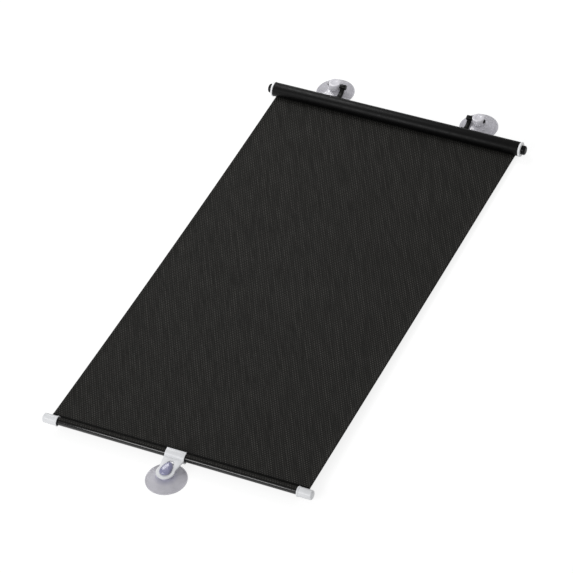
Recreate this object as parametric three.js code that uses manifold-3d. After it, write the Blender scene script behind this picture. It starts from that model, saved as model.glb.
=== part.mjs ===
// Roller sunshade for a car side window, drawn out and lying on its three suction cups.
// Millimetres, +Z up. X runs along the roller, +Y from the bottom bar to the roller.

import * as THREE from 'three';
import { mergeVertices } from 'three/addons/utils/BufferGeometryUtils.js';
import Module from 'manifold-3d';

const wasm = await Module();
wasm.setup();

// Clearances between pieces
const GAP = 0.3;                 // seated or running clearance
const CLOTH_GAP = 0.2;           // the sheet where it leaves the roll

// Cloth
const CLOTH_WIDTH = 360;
const ROLLER_TO_BAR = 684;       // from the roller's axis to the bar's axis
const CLOTH_THICKNESS = 0.5;
const SELVEDGE_THICKNESS = 0.9;
const SELVEDGE_WIDTH = 4;
const CLOTH_SAG = 2.5;
const HEM_THICKNESS = 1.2;
const HEM_REACH = 10.5;          // from the bar's axis to the hem's seam
const CLOTH_STEPS = 14;

// Roller housing
const AXIS_HEIGHT = 12;          // roller and bar axes above the cups' rims
const HOUSING_RADIUS = 10;
const HOUSING_WALL = 1;
const HOUSING_MARGIN = 4;        // housing past the cloth at each end
const HOUSING_LENGTH = CLOTH_WIDTH + 2 * HOUSING_MARGIN;
const SLOT_FROM_DEG = 214;
const SLOT_TO_DEG = 240;

// Housing ends
const FLANGE_RADIUS = 10.4;
const FLANGE_THICKNESS = 2.6;
const FLANGE_EDGE = 0.5;
const SPIGOT_DEPTH = 3;
const SPIGOT_BORE = 7.2;
const KNOB_RADIUS = 6.4;
const KNOB_LENGTH = 6;
const SHANK_RADIUS = 3;
const LEFT_SHANK_LENGTH = 14;
const RIGHT_SHANK_LENGTH = 19;
const SOCKET_DEPTH = 9;
const SOCKET_WALL = 0.6;

// Roller inside the housing
const TUBE_RADIUS = 5.4;
const TUBE_WALL = 0.7;
const TUBE_END_CLEARANCE = 1.2;
const WOUND_THICKNESS = 0.7;
const PLUG_DEPTH = 12;
const PLUG_FLANGE = 1;
const SPRING_PLUG_LENGTH = 12;
const SPRING_LENGTH = 146;
const SPRING_TURNS = 18;
const SPRING_WIRE = 0.42;
const SPRING_STEPS_PER_TURN = 10;

// Hooks
const HOOK_INSET = 88.1;         // from the housing's end to the middle of the arm
const HOOK_WIDTH = 6;
const HOOK_THICKNESS = 1.6;
const SADDLE_FROM_DEG = -65;
const SADDLE_TO_DEG = 20;
const ARM_THICKNESS = 3;
const ARM_FOOT_DEG = -20;
const ARM_DIP = [26, -9.5];      // the low point that the arm bends towards
const PIN_REACH = 35.5;          // from the roller's axis to the pin's axis
const PIN_HEIGHT = 13;           // above the cups' rims
const PIN_RADIUS = 2.5;
const PIN_TIP = 1.5;
const BOSS_RADIUS = 3.6;
const BOSS_STEP = 1.6;

// Suction cups
const CUP_RADIUS = 27;
const TOP_KNOB_RADIUS = 8.5;
const TOP_KNOB_BASE = 7.8;
const TOP_KNOB_TOP = 18;
const KNOB_EDGE = 0.9;
const DIMPLE_RADIUS = 3.6;
const DIMPLE_DEPTH = 0.7;
const CUP_LIP = 1;
const STEM_RADIUS = 7.2;
const NECK_RADIUS = 4.6;
const HEAD_RADIUS = 7.4;
const HEAD_HEIGHT = 3.6;

// Bottom bar
const BAR_RADIUS = 4.7;
const BAR_MARGIN = 6;            // bar past the cloth at each end
const BAR_LENGTH = CLOTH_WIDTH + 2 * BAR_MARGIN;
const BAR_SLOT_DEG = 110;        // the cloth goes in at the top, a little to the front
const BAR_SLOT = CLOTH_THICKNESS + 2 * GAP;
const WELT_RADIUS = 1.2;
const CAP_RADIUS = 6.4;
const CAP_LENGTH = 20.5;
const CAP_END = 2;
const CAP_RIM = 0.45;
const CAP_RIM_WIDTH = 2.4;
const CAP_SLOT = HEM_THICKNESS + 3 * GAP;

// Clip on the bar
const CLIP_WIDTH = 27;
const CLIP_THICKNESS = 1.8;
const CLIP_LIP_DEG = 64;
const CLIP_END_DEG = 292;
const CLIP_LIP = 0.8;
const PLATE_THICKNESS = 2;
const PLATE_BOTTOM = 12.5;       // above the cups' rims
const KEY_WIDE_REACH = 31;       // from the bar's axis
const KEY_WIDE_RADIUS = 6.6;     // the soft head is pressed through
const KEY_NARROW_REACH = 16.8;
const KEY_NARROW_RADIUS = NECK_RADIUS + GAP;
const RING_RADIUS = 12;

// Facets
const FINE = 32;
const MEDIUM = 24;
const SMALL = 16;
const ARM_STEPS = 10;

// Places that follow from the sizes above
const ROLLER_Y = ROLLER_TO_BAR / 2;
const BAR_Y = -ROLLER_TO_BAR / 2;
const PIN_Y = ROLLER_Y + PIN_REACH;
const BOTTOM_CUP_Y = BAR_Y - KEY_WIDE_REACH;
const FRAME_SHIFT_Y = -(PIN_Y + BOTTOM_CUP_Y) / 2;
const WOUND_INNER = TUBE_RADIUS + GAP;
const WOUND_OUTER = WOUND_INNER + WOUND_THICKNESS;
const SHEET_START_Z = AXIS_HEIGHT - WOUND_OUTER - CLOTH_GAP - SELVEDGE_THICKNESS / 2;
const HOUSING_END = HOUSING_LENGTH / 2;
const HOOK_X = HOUSING_END - HOOK_INSET;
const TOP_CUP_X = HOOK_X + HOOK_WIDTH / 2 + BOSS_STEP / 4 + 2 * GAP + TOP_KNOB_RADIUS;
const TUBE_END = HOUSING_END - SPIGOT_DEPTH - TUBE_END_CLEARANCE - PLUG_FLANGE;
const SHANK_START = HOUSING_END + GAP + FLANGE_THICKNESS;
const MANDREL_RADIUS = SHANK_RADIUS - SOCKET_WALL - GAP / 2;
const SPRING_RADIUS = MANDREL_RADIUS + GAP + SPRING_WIRE;
const SPRING_END = SHANK_START - RIGHT_SHANK_LENGTH - GAP - SPRING_WIRE;
const SPRING_START = SPRING_END - SPRING_LENGTH;
const MANDREL_START = SPRING_START - SPRING_WIRE - GAP - SPRING_PLUG_LENGTH / 2;
const WRAP_INNER = BAR_RADIUS + CLOTH_GAP;
const WRAP_OUTER = WRAP_INNER + CLOTH_THICKNESS;
const BAR_SEAT = WRAP_OUTER + GAP;     // inside of the caps and of the clip's jaw

// Materials
const BLACK_PLASTIC = { color: 0x1b1b1c, roughness: 0.42, metalness: 0 };
const GLOSS_BLACK = { color: 0x0e0e0f, roughness: 0.28, metalness: 0 };
const WHITE_PLASTIC = { color: 0xe6e8ea, roughness: 0.38, metalness: 0 };
const MESH_CLOTH = { color: 0x2b2a29, roughness: 0.85, metalness: 0 };
const CLEAR_VINYL = { color: 0xb7b5bd, roughness: 0.18, metalness: 0 };
const GREY_STEEL = { color: 0x8b8e92, roughness: 0.35, metalness: 0.9 };
const GREY_PLASTIC = { color: 0x9a9b9d, roughness: 0.5, metalness: 0 };

// Geometry helpers

const radians = (degrees) => degrees * Math.PI / 180;

function polar(radius, degrees) {
  return [radius * Math.cos(radians(degrees)), radius * Math.sin(radians(degrees))];
}

function arcPoints(radius, fromDeg, toDeg, steps) {
  const points = [];
  for (let i = 0; i <= steps; i += 1) {
    points.push(polar(radius, fromDeg + (toDeg - fromDeg) * i / steps));
  }
  return points;
}

// Outline of a band of one thickness along a flat curve
function bandAlong(curve, thickness, steps) {
  const upper = [];
  const lower = [];
  for (let i = 0; i <= steps; i += 1) {
    const point = curve.getPoint(i / steps);
    const along = curve.getTangent(i / steps);
    upper.push([point.x - along.y * thickness / 2, point.y + along.x * thickness / 2]);
    lower.unshift([point.x + along.y * thickness / 2, point.y - along.x * thickness / 2]);
  }
  return [...upper, ...lower];
}

function shapeOf(points) {
  return new THREE.Shape(points.map(([a, b]) => new THREE.Vector2(a, b)));
}

// One closed mesh: shared corners, no collapsed triangles, faces pointing out
function closedMesh(geometry) {
  const bare = geometry.clone();
  bare.deleteAttribute('normal');
  bare.deleteAttribute('uv');
  const merged = mergeVertices(bare, 1e-4);
  const corner = merged.attributes.position;
  const kept = [];
  let volume = 0;
  const a = new THREE.Vector3();
  const b = new THREE.Vector3();
  const c = new THREE.Vector3();
  for (let i = 0; i < merged.index.count; i += 3) {
    const [p, q, r] = [0, 1, 2].map((k) => merged.index.getX(i + k));
    if (p === q || q === r || r === p) continue;
    kept.push(p, q, r);
    a.fromBufferAttribute(corner, p);
    b.fromBufferAttribute(corner, q);
    c.fromBufferAttribute(corner, r);
    volume += a.dot(b.cross(c));
  }
  if (volume < 0) {
    for (let i = 0; i < kept.length; i += 3) {
      [kept[i + 1], kept[i + 2]] = [kept[i + 2], kept[i + 1]];
    }
  }
  merged.setIndex(kept);
  return merged;
}

function toManifold(geometry) {
  const closed = closedMesh(geometry);
  return new wasm.Manifold(new wasm.Mesh({
    numProp: 3,
    vertProperties: new Float32Array(closed.attributes.position.array),
    triVerts: new Uint32Array(closed.index.array),
  }));
}

function fromManifold(manifold) {
  const mesh = manifold.getMesh();
  const geometry = new THREE.BufferGeometry();
  geometry.setAttribute('position', new THREE.BufferAttribute(new Float32Array(mesh.vertProperties), 3));
  geometry.setIndex(new THREE.BufferAttribute(new Uint32Array(mesh.triVerts), 1));
  return geometry;
}

function joined(first, ...others) {
  const total = others.reduce((sum, other) => sum.add(toManifold(other)), toManifold(first));
  return fromManifold(total);
}

function cut(body, ...tools) {
  const rest = tools.reduce((sum, tool) => sum.subtract(toManifold(tool)), toManifold(body));
  return fromManifold(rest);
}

// A Y-Z outline drawn out along X, centred on x
function alongX(shape, length, x = 0) {
  const geometry = new THREE.ExtrudeGeometry(shape, { depth: length, bevelEnabled: false, curveSegments: SMALL });
  const turn = new THREE.Matrix4().makeBasis(
    new THREE.Vector3(0, 1, 0),
    new THREE.Vector3(0, 0, 1),
    new THREE.Vector3(1, 0, 0),
  );
  return geometry.applyMatrix4(turn).translate(x - length / 2, 0, 0);
}

// A [radius, height] profile turned about Z
function turnedAboutZ(profile, segments) {
  const points = profile.map(([radius, height]) => new THREE.Vector2(radius, height));
  return new THREE.LatheGeometry(points, segments).rotateX(Math.PI / 2);
}

// A [radius, x] profile turned about X
function turnedAboutX(profile, segments) {
  const points = profile.map(([radius, x]) => new THREE.Vector2(radius, x));
  return new THREE.LatheGeometry(points, segments).rotateZ(-Math.PI / 2);
}

// A closed ring of a [radius, x] outline
function ringAboutX(outline, segments) {
  return turnedAboutX([...outline, outline[0]], segments);
}

function rodAlongX(radius, fromX, toX, segments = SMALL) {
  return turnedAboutX([[0, fromX], [radius, fromX], [radius, toX], [0, toX]], segments);
}

function tubeAlongX(outer, inner, fromX, toX, segments) {
  return ringAboutX([[inner, fromX], [outer, fromX], [outer, toX], [inner, toX]], segments);
}

// Mirrors a piece of the right side to the left
function mirrored(geometry) {
  return closedMesh(geometry).applyMatrix4(new THREE.Matrix4().makeScale(-1, 1, 1));
}

// Roller housing: a tube with a slot for the cloth low at its front

function housingGeometry() {
  const from = SLOT_TO_DEG - 360;
  const outer = arcPoints(HOUSING_RADIUS, from, SLOT_FROM_DEG, FINE);
  const inner = arcPoints(HOUSING_RADIUS - HOUSING_WALL, SLOT_FROM_DEG, from, FINE);
  return alongX(shapeOf([...outer, ...inner]), HOUSING_LENGTH);
}

// White end flange: a disc on the housing's end, with a spigot inside it
function flangeGeometry() {
  const bore = SHANK_RADIUS + GAP;
  const spigot = HOUSING_RADIUS - HOUSING_WALL - GAP;
  const inside = HOUSING_END - SPIGOT_DEPTH;
  const seat = HOUSING_END + GAP;
  const face = seat + FLANGE_THICKNESS;
  return ringAboutX([
    [SPIGOT_BORE, inside],
    [spigot, inside],
    [spigot, seat],
    [FLANGE_RADIUS, seat],
    [FLANGE_RADIUS, face - FLANGE_EDGE],
    [FLANGE_RADIUS - FLANGE_EDGE, face],
    [bore, face],
    [bore, seat],
    [SPIGOT_BORE, seat],
  ], MEDIUM);
}

// Black end knob with the shank that the roller turns on
function knobProfile(shankLength) {
  const seat = SHANK_START + GAP;
  const face = seat + KNOB_LENGTH;
  return {
    shankEnd: SHANK_START - shankLength,
    outside: [
      [SHANK_RADIUS, seat],
      [KNOB_RADIUS - 0.5, seat],
      [KNOB_RADIUS, seat + 0.5],
      [KNOB_RADIUS, face - 2.4],
      [KNOB_RADIUS - 0.7, face - 0.9],
      [KNOB_RADIUS - 2.2, face - 0.1],
      [0, face],
    ],
  };
}

function leftKnobGeometry() {
  const { shankEnd, outside } = knobProfile(LEFT_SHANK_LENGTH);
  return turnedAboutX([[0, shankEnd], [SHANK_RADIUS, shankEnd], ...outside], MEDIUM);
}

function rightKnobGeometry() {
  const { shankEnd, outside } = knobProfile(RIGHT_SHANK_LENGTH);
  const socket = MANDREL_RADIUS + GAP / 2;
  return turnedAboutX([
    [0, shankEnd + SOCKET_DEPTH],
    [socket, shankEnd + SOCKET_DEPTH],
    [socket, shankEnd],
    [SHANK_RADIUS, shankEnd],
    ...outside,
  ], MEDIUM);
}

// Roller

function tubeGeometry() {
  return tubeAlongX(TUBE_RADIUS, TUBE_RADIUS - TUBE_WALL, -TUBE_END, TUBE_END, MEDIUM);
}

function woundClothGeometry() {
  return tubeAlongX(WOUND_OUTER, WOUND_INNER, -CLOTH_WIDTH / 2 + GAP, CLOTH_WIDTH / 2 - GAP, MEDIUM);
}

function tubePlugGeometry() {
  const bore = SHANK_RADIUS + GAP;
  const body = TUBE_RADIUS - TUBE_WALL - GAP;
  const seat = TUBE_END + GAP;
  return ringAboutX([
    [bore, TUBE_END - PLUG_DEPTH],
    [body, TUBE_END - PLUG_DEPTH],
    [body, seat],
    [TUBE_RADIUS, seat],
    [TUBE_RADIUS, seat + PLUG_FLANGE],
    [bore, seat + PLUG_FLANGE],
  ], MEDIUM);
}

function springPlugGeometry() {
  const start = SPRING_START - SPRING_WIRE - GAP - SPRING_PLUG_LENGTH;
  const body = TUBE_RADIUS - TUBE_WALL - GAP;
  return tubeAlongX(body, MANDREL_RADIUS + GAP, start, start + SPRING_PLUG_LENGTH, MEDIUM);
}

function mandrelGeometry() {
  const end = SHANK_START - RIGHT_SHANK_LENGTH + SOCKET_DEPTH - GAP;
  return rodAlongX(MANDREL_RADIUS, MANDREL_START, end);
}

class Helix extends THREE.Curve {
  getPoint(t, target = new THREE.Vector3()) {
    const angle = 2 * Math.PI * SPRING_TURNS * t;
    return target.set(
      SPRING_START + SPRING_LENGTH * t,
      SPRING_RADIUS * Math.cos(angle),
      SPRING_RADIUS * Math.sin(angle),
    );
  }
}

function springGeometry() {
  return new THREE.ExtrudeGeometry(shapeOf(arcPoints(SPRING_WIRE, 0, 300, 5)), {
    extrudePath: new Helix(),
    steps: SPRING_TURNS * SPRING_STEPS_PER_TURN,
    bevelEnabled: false,
  });
}

// Hook: a saddle on the housing's back, an arm, and a pin through the cup's knob

function hookGeometry() {
  const inner = HOUSING_RADIUS + GAP;
  const outer = inner + HOOK_THICKNESS;
  const saddle = shapeOf([
    ...arcPoints(outer, SADDLE_FROM_DEG, SADDLE_TO_DEG, SMALL),
    ...arcPoints(inner, SADDLE_TO_DEG, SADDLE_FROM_DEG, SMALL),
  ]);
  const pinZ = PIN_HEIGHT - AXIS_HEIGHT;
  const path = new THREE.QuadraticBezierCurve(
    new THREE.Vector2(...polar(inner + HOOK_THICKNESS / 2, ARM_FOOT_DEG)),
    new THREE.Vector2(...ARM_DIP),
    new THREE.Vector2(PIN_REACH, pinZ),
  );
  const arm = shapeOf(bandAlong(path, ARM_THICKNESS, ARM_STEPS));
  const armInside = HOOK_X - HOOK_WIDTH / 2;
  const armOutside = HOOK_X + HOOK_WIDTH / 2;
  const boss = rodAlongX(BOSS_RADIUS, armInside - BOSS_STEP, armOutside + BOSS_STEP / 4, MEDIUM);
  const pin = rodAlongX(PIN_RADIUS, HOOK_X, TOP_CUP_X + TOP_KNOB_RADIUS + PIN_TIP, SMALL);
  return joined(
    alongX(saddle, HOOK_WIDTH, HOOK_X),
    alongX(arm, HOOK_WIDTH, HOOK_X),
    boss.translate(0, PIN_REACH, pinZ),
    pin.translate(0, PIN_REACH, pinZ),
  );
}

// Suction cups: a thin skirt, hollow under a shallow cone, that all three share

const SKIRT = [
  [0, 3.4],
  [CUP_RADIUS * 0.32, 3.2],
  [CUP_RADIUS * 0.56, 2.5],
  [CUP_RADIUS * 0.78, 1.35],
  [CUP_RADIUS * 0.93, 0.4],
  [CUP_RADIUS * 0.97, 0],
  [CUP_RADIUS, 0],
  [CUP_RADIUS, CUP_LIP * 0.6],
  [CUP_RADIUS * 0.985, CUP_LIP],
  [CUP_RADIUS * 0.9, CUP_LIP + 0.55],
  [CUP_RADIUS * 0.75, 3.2],
  [CUP_RADIUS * 0.55, 5],
  [CUP_RADIUS * 0.4, 6.1],
];

function topCupGeometry() {
  const body = turnedAboutZ([
    ...SKIRT,
    [TOP_KNOB_RADIUS - 1.8, TOP_KNOB_BASE - 0.9],
    [TOP_KNOB_RADIUS - 0.7, TOP_KNOB_BASE],
    [TOP_KNOB_RADIUS, TOP_KNOB_BASE + 0.7],
    [TOP_KNOB_RADIUS, TOP_KNOB_TOP - KNOB_EDGE],
    [TOP_KNOB_RADIUS - KNOB_EDGE, TOP_KNOB_TOP],
    [DIMPLE_RADIUS + DIMPLE_DEPTH, TOP_KNOB_TOP],
    [DIMPLE_RADIUS, TOP_KNOB_TOP - DIMPLE_DEPTH],
    [0, TOP_KNOB_TOP - DIMPLE_DEPTH],
  ], FINE);
  const reach = TOP_KNOB_RADIUS + 1;
  const hole = rodAlongX(PIN_RADIUS + GAP, -reach, reach).translate(0, 0, PIN_HEIGHT);
  return cut(body, hole);
}

function bottomCupGeometry() {
  const shoulder = PLATE_BOTTOM - GAP;
  const headBase = PLATE_BOTTOM + PLATE_THICKNESS + GAP;
  const headTop = headBase + HEAD_HEIGHT;
  return turnedAboutZ([
    ...SKIRT,
    [STEM_RADIUS + 1.2, 6.7],
    [STEM_RADIUS, 7.8],
    [STEM_RADIUS, shoulder],
    [NECK_RADIUS, shoulder],
    [NECK_RADIUS, headBase],
    [HEAD_RADIUS - 0.3, headBase],
    [HEAD_RADIUS, headBase + 0.7],
    [HEAD_RADIUS - 0.6, headTop - 1.4],
    [HEAD_RADIUS - 2.6, headTop - 0.3],
    [0, headTop],
  ], FINE);
}

// Cloth

function sheetHeight(share) {
  const straight = SHEET_START_Z + (AXIS_HEIGHT - SHEET_START_Z) * share;
  return straight - 4 * CLOTH_SAG * share * (1 - share);
}

function sheetGeometry() {
  const start = ROLLER_Y;
  const end = BAR_Y + HEM_REACH + GAP;
  const geometry = new THREE.BoxGeometry(3, 1, 1, 5, CLOTH_STEPS, 1);
  const half = CLOTH_WIDTH / 2;
  const band = half - SELVEDGE_WIDTH;
  const columns = [-half, -band, -band + 0.4, band - 0.4, band, half];
  const corner = geometry.attributes.position;
  for (let i = 0; i < corner.count; i += 1) {
    const column = Math.round((corner.getX(i) / 3 + 0.5) * 5);
    const share = 0.5 - corner.getY(i);
    const selvedge = column < 2 || column > 3;
    const thickness = selvedge ? SELVEDGE_THICKNESS : CLOTH_THICKNESS;
    const side = Math.sign(corner.getZ(i));
    corner.setXYZ(i, columns[column], start + (end - start) * share, sheetHeight(share) + side * thickness / 2);
  }
  return geometry;
}

// Hem: a double fold behind the bar, then over its top and through its slot to loop around the welt rod
function hemGeometry() {
  const inner = WELT_RADIUS + GAP;
  const outer = inner + CLOTH_THICKNESS;
  const loop = tubeAlongX(outer, inner, -CLOTH_WIDTH / 2, CLOTH_WIDTH / 2, MEDIUM);
  const overTop = shapeOf([
    ...arcPoints(WRAP_OUTER, 0, BAR_SLOT_DEG, SMALL),
    ...arcPoints(WRAP_INNER, BAR_SLOT_DEG, 0, SMALL),
  ]);
  const tongueStart = (inner + outer) / 2;
  const tongue = new THREE.BoxGeometry(CLOTH_WIDTH, WRAP_OUTER - tongueStart, CLOTH_THICKNESS);
  tongue.translate(0, (WRAP_OUTER + tongueStart) / 2, 0).rotateX(radians(BAR_SLOT_DEG));
  const foldStart = (WRAP_INNER + WRAP_OUTER) / 2;
  const fold = new THREE.BoxGeometry(CLOTH_WIDTH, HEM_REACH - foldStart, HEM_THICKNESS);
  fold.translate(0, (HEM_REACH + foldStart) / 2, 0);
  return joined(loop, tongue, alongX(overTop, CLOTH_WIDTH), fold);
}

// Bottom bar: a round profile with a bore and slot for the hem
function barGeometry() {
  const bore = WELT_RADIUS + GAP + CLOTH_THICKNESS + GAP;
  const outerMouth = Math.asin(BAR_SLOT / 2 / BAR_RADIUS) * 180 / Math.PI;
  const boreMouth = Math.asin(BAR_SLOT / 2 / bore) * 180 / Math.PI;
  const end = BAR_SLOT_DEG + 360;
  const profile = shapeOf([
    ...arcPoints(BAR_RADIUS, BAR_SLOT_DEG + outerMouth, end - outerMouth, FINE),
    ...arcPoints(bore, end - boreMouth, BAR_SLOT_DEG + boreMouth, MEDIUM),
  ]);
  return alongX(profile, BAR_LENGTH);
}

function weltGeometry() {
  return rodAlongX(WELT_RADIUS, -CLOTH_WIDTH / 2, CLOTH_WIDTH / 2);
}

// White cap over the right end of the bar, slotted for the cloth
function barCapGeometry() {
  const seat = BAR_LENGTH / 2 + GAP;
  const face = seat + CAP_END;
  const mouth = face - CAP_LENGTH;
  const rim = CAP_RADIUS + CAP_RIM;
  const shell = turnedAboutX([
    [0, seat],
    [BAR_SEAT, seat],
    [BAR_SEAT, mouth],
    [rim, mouth],
    [rim, mouth + CAP_RIM_WIDTH],
    [CAP_RADIUS, mouth + CAP_RIM_WIDTH + 0.4],
    [CAP_RADIUS, face - 2.2],
    [CAP_RADIUS - 0.5, face - 0.9],
    [CAP_RADIUS - 1.6, face],
    [0, face],
  ], MEDIUM);
  const slotEnd = CLOTH_WIDTH / 2 + GAP;
  const slot = new THREE.BoxGeometry(slotEnd - mouth + 1, CAP_RADIUS * 2, CAP_SLOT);
  slot.translate((slotEnd + mouth - 1) / 2, CAP_RADIUS, 0);
  return cut(shell, slot);
}

// White clip: a jaw over the bar and a plate with a keyhole for the bottom cup

function clipGeometry() {
  const outer = BAR_SEAT + CLIP_THICKNESS;
  const jaw = shapeOf([
    polar(outer + CLIP_LIP, CLIP_LIP_DEG),
    polar(outer + CLIP_LIP, CLIP_LIP_DEG + 9),
    ...arcPoints(outer, CLIP_LIP_DEG + 15, CLIP_END_DEG, MEDIUM),
    ...arcPoints(BAR_SEAT, CLIP_END_DEG, CLIP_LIP_DEG, MEDIUM),
  ]);
  const plate = new THREE.Shape();
  const half = CLIP_WIDTH / 2;
  const root = -BAR_SEAT - CLIP_THICKNESS / 2;
  plate.moveTo(half, root);
  plate.lineTo(half, root - 2.2);
  plate.quadraticCurveTo(half - 1, root - 8, RING_RADIUS - 1.2, -KEY_WIDE_REACH + 9);
  plate.absarc(0, -KEY_WIDE_REACH, RING_RADIUS, radians(24), radians(-204), true);
  plate.quadraticCurveTo(-half + 1, root - 8, -half, root - 2.2);
  plate.lineTo(-half, root);
  plate.closePath();
  const spread = Math.asin(KEY_NARROW_RADIUS / KEY_WIDE_RADIUS);
  const keyhole = new THREE.Path();
  keyhole.absarc(0, -KEY_WIDE_REACH, KEY_WIDE_RADIUS, Math.PI / 2 + spread, Math.PI * 2.5 - spread, false);
  keyhole.absarc(0, -KEY_NARROW_REACH, KEY_NARROW_RADIUS, 0, Math.PI, false);
  keyhole.closePath();
  plate.holes.push(keyhole);
  const plateSolid = new THREE.ExtrudeGeometry(plate, {
    depth: PLATE_THICKNESS,
    bevelEnabled: false,
    curveSegments: SMALL,
  });
  plateSolid.translate(0, 0, PLATE_BOTTOM - AXIS_HEIGHT);
  return joined(alongX(jaw, CLIP_WIDTH), plateSolid);
}

// Assembly

const sunshade = new THREE.Group();
sunshade.name = 'roller_sunshade';
sunshade.position.y = FRAME_SHIFT_Y;

function groupAt(name, y, z) {
  const group = new THREE.Group();
  group.name = name;
  group.position.set(0, y, z);
  sunshade.add(group);
  return group;
}

function addPiece(parent, name, geometry, look, x = 0, y = 0, z = 0) {
  const mesh = new THREE.Mesh(closedMesh(geometry), new THREE.MeshStandardMaterial(look));
  mesh.geometry.computeVertexNormals();
  mesh.name = name;
  mesh.position.set(x, y, z);
  parent.add(mesh);
}

const roller = groupAt('roller_line', ROLLER_Y, AXIS_HEIGHT);
const bar = groupAt('bar_line', BAR_Y, AXIS_HEIGHT);
const glass = groupAt('cup_plane', 0, 0);

addPiece(roller, 'cassette_housing', housingGeometry(), BLACK_PLASTIC);
addPiece(roller, 'end_flange_right', flangeGeometry(), WHITE_PLASTIC);
addPiece(roller, 'end_flange_left', mirrored(flangeGeometry()), WHITE_PLASTIC);
addPiece(roller, 'end_knob_right', rightKnobGeometry(), GLOSS_BLACK);
addPiece(roller, 'end_knob_left', mirrored(leftKnobGeometry()), GLOSS_BLACK);
addPiece(roller, 'hook_right', hookGeometry(), GLOSS_BLACK);
addPiece(roller, 'hook_left', mirrored(hookGeometry()), GLOSS_BLACK);
addPiece(roller, 'spring_mandrel', mandrelGeometry(), GREY_STEEL);
addPiece(roller, 'torsion_spring', springGeometry(), GREY_STEEL);
addPiece(roller, 'roller_tube', tubeGeometry(), GREY_STEEL);
addPiece(roller, 'wound_fabric', woundClothGeometry(), MESH_CLOTH);
addPiece(roller, 'tube_plug_right', tubePlugGeometry(), GREY_PLASTIC);
addPiece(roller, 'tube_plug_left', mirrored(tubePlugGeometry()), GREY_PLASTIC);
addPiece(roller, 'spring_plug', springPlugGeometry(), GREY_PLASTIC);

addPiece(bar, 'bottom_bar', barGeometry(), GLOSS_BLACK);
addPiece(bar, 'fabric_hem', hemGeometry(), MESH_CLOTH);
addPiece(bar, 'hem_welt_rod', weltGeometry(), BLACK_PLASTIC);
addPiece(bar, 'bar_cap_right', barCapGeometry(), WHITE_PLASTIC);
addPiece(bar, 'bar_cap_left', mirrored(barCapGeometry()), WHITE_PLASTIC);
addPiece(bar, 'bar_clip', clipGeometry(), WHITE_PLASTIC);

addPiece(glass, 'fabric_sheet', sheetGeometry(), MESH_CLOTH);
addPiece(glass, 'suction_cup_right', topCupGeometry(), CLEAR_VINYL, TOP_CUP_X, PIN_Y);
addPiece(glass, 'suction_cup_left', topCupGeometry(), CLEAR_VINYL, -TOP_CUP_X, PIN_Y);
addPiece(glass, 'suction_cup_bottom', bottomCupGeometry(), CLEAR_VINYL, 0, BOTTOM_CUP_Y);

export default sunshade;
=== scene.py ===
import math

import bmesh
import bpy
from bpy.props import FloatProperty, FloatVectorProperty, IntProperty, PointerProperty
from mathutils import Matrix, Vector


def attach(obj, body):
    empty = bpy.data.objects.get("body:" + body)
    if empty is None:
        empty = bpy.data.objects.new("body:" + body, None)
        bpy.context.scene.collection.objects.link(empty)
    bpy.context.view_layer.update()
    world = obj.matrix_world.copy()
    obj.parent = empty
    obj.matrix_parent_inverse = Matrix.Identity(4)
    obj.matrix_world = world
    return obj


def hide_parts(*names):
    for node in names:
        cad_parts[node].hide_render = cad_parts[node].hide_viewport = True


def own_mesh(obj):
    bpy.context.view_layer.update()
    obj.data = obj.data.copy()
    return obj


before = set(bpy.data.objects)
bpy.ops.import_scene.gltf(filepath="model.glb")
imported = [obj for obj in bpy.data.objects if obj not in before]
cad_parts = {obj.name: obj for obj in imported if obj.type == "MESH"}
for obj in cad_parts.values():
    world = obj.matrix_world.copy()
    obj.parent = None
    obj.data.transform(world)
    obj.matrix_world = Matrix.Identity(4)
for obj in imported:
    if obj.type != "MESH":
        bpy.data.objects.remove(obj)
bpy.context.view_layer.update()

bl_info = {
    "name": "Roller Sunshade",
    "version": (1, 0, 0),
    "blender": (4, 5, 0),
    "location": "View3D > Sidebar > Sunshade",
    "description": "Builds a roller sunshade for a car side window, with its cloth, roller and suction cups",
    "category": "Add Mesh",
}

# Driving sizes in millimetres, read from the frame's solids

MM = 0.001
SLIVER = 0.002 * MM


def solid_box(node):
    """Size and middle of a solid, to the nearest hundredth of a millimetre."""
    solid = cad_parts[node]
    places = [solid.matrix_world @ vert.co / MM for vert in solid.data.vertices]
    low, high = ([pick(place[axis] for place in places) for axis in range(3)] for pick in (min, max))
    size = [round(b - a, 2) for a, b in zip(low, high)]
    middle = [round((a + b) / 2, 2) for a, b in zip(low, high)]
    return size, middle


FLANGE_SIZE, ROLLER_END = solid_box("end_flange_right")
WELT_SIZE, BAR_MIDDLE = solid_box("hem_welt_rod")
CUP_SIZE, TOP_CUP_MIDDLE = solid_box("suction_cup_right")
BOTTOM_CUP_MIDDLE = solid_box("suction_cup_bottom")[1]

GAP = 0.3
CLOTH_GAP = 0.2
CLOTH_WIDTH = WELT_SIZE[0]
ROLLER_Y, AXIS_Z = ROLLER_END[1:]
BAR_Y = BAR_MIDDLE[1]
HOUSING_LENGTH = solid_box("cassette_housing")[0][0]
BAR_LENGTH = solid_box("bottom_bar")[0][0]

# Geometry helpers


def polar(radius, degrees):
    """A point on a circle, as two coordinates."""
    turn = math.radians(degrees)
    return (radius * math.cos(turn), radius * math.sin(turn))


def polar_from(centre, radius, degrees):
    """A point on a circle about a centre."""
    a, b = polar(radius, degrees)
    return (centre[0] + a, centre[1] + b)


def arc(radius, start, end, steps, centre=(0.0, 0.0)):
    """Points along an arc, angles in degrees."""
    return [polar_from(centre, radius, start + (end - start) * i / steps) for i in range(steps + 1)]


def band(path, thickness):
    """Outline of a band of one thickness along a flat path."""
    sides = ([], [])
    for i, point in enumerate(path):
        before, after = path[max(0, i - 1)], path[min(len(path) - 1, i + 1)]
        along = Vector((after[0] - before[0], after[1] - before[1])).normalized()
        for side, sign in zip(sides, (0.5, -0.5)):
            side.append((point[0] - along.y * thickness * sign, point[1] + along.x * thickness * sign))
    return sides[0] + sides[1][::-1]


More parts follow.
